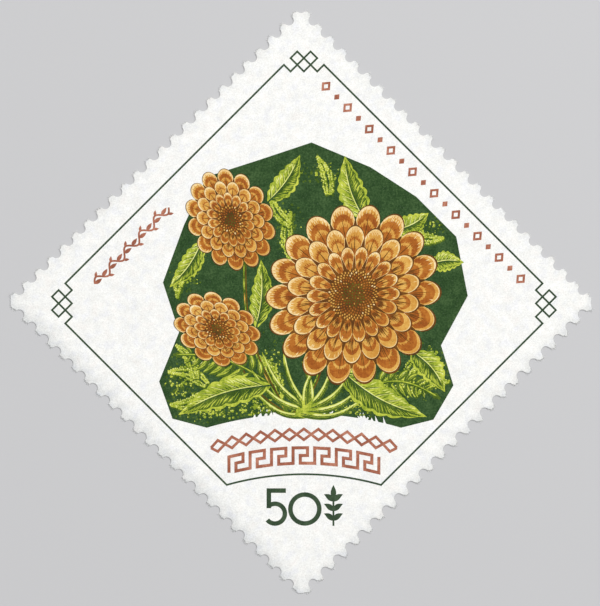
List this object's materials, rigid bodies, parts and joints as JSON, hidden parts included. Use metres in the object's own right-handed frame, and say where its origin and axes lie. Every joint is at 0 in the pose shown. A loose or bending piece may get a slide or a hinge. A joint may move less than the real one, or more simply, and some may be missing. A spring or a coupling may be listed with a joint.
{
  "type": "postage stamp",
  "caption": "Square postage stamp that stands on its corner, with perforated edges, a gummed back and a printed picture, rule, value and ornaments on its face.",
  "frame": {"origin": "centre of the gummed back face, on the surface that the stamp lies on", "axes": "+Z out of the printed face; +Y towards the picture's top corner, so the square stands on its corner in the XY plane; +X to the picture's right"},
  "size_m": [0.061, 0.061, 0.0002],
  "materials": {
    "paper": "uncoated",
    "gum": "dry gum, satin",
    "dark_green_ink": "matte ink",
    "olive_ink": "matte ink",
    "yellow_green_ink": "matte ink",
    "ochre_ink": "matte ink",
    "rust_ink": "matte ink",
    "brown_ink": "matte ink",
    "cream_ink": "matte ink",
    "red_ink": "matte ink"
  },
  "bodies": {
    "root": {"digit_five": "dark_green_ink", "digit_zero": "dark_green_ink", "frond_1": "olive_ink", "frond_2": "olive_ink", "grass_tuft": "yellow_green_ink", "gum": "gum", "half_open_bloom_heart": "brown_ink", "half_open_bloom_inner": "rust_ink", "half_open_bloom_middle": "ochre_ink", "half_open_bloom_outer": "rust_ink", "key_fret": "red_ink", "large_bloom_heart": "brown_ink", "large_bloom_inner": "rust_ink", "large_bloom_middle": "ochre_ink", "large_bloom_outer": "rust_ink", "leaf_01": "yellow_green_ink", "leaf_02": "yellow_green_ink", "leaf_03": "yellow_green_ink", "leaf_04": "yellow_green_ink", "leaf_05": "yellow_green_ink", "leaf_06": "yellow_green_ink", "leaf_07": "yellow_green_ink", "leaf_08": "yellow_green_ink", "leaf_09": "yellow_green_ink", "lozenge_chain": "red_ink", "margin_mark_01": "red_ink", "margin_mark_02": "red_ink", "margin_mark_03": "red_ink", "margin_mark_04": "red_ink", "margin_mark_05": "red_ink", "margin_mark_06": "red_ink", "margin_mark_07": "red_ink", "margin_mark_08": "red_ink", "margin_mark_09": "red_ink", "margin_mark_10": "red_ink", "margin_mark_11": "red_ink", "margin_mark_12": "red_ink", "margin_mark_13": "red_ink", "margin_mark_14": "red_ink", "margin_mark_15": "red_ink", "margin_mark_16": "red_ink", "margin_mark_17": "red_ink", "margin_mark_18": "red_ink", "margin_mark_19": "red_ink", "margin_scroll": "red_ink", "paper": "paper", "picture_ground": "dark_green_ink", "rule": "dark_green_ink", "small_bloom_heart": "brown_ink", "small_bloom_inner": "rust_ink", "small_bloom_middle": "ochre_ink", "small_bloom_outer": "rust_ink", "stems": "olive_ink", "value_sprig": "dark_green_ink"}
  },
  "joints": []
}
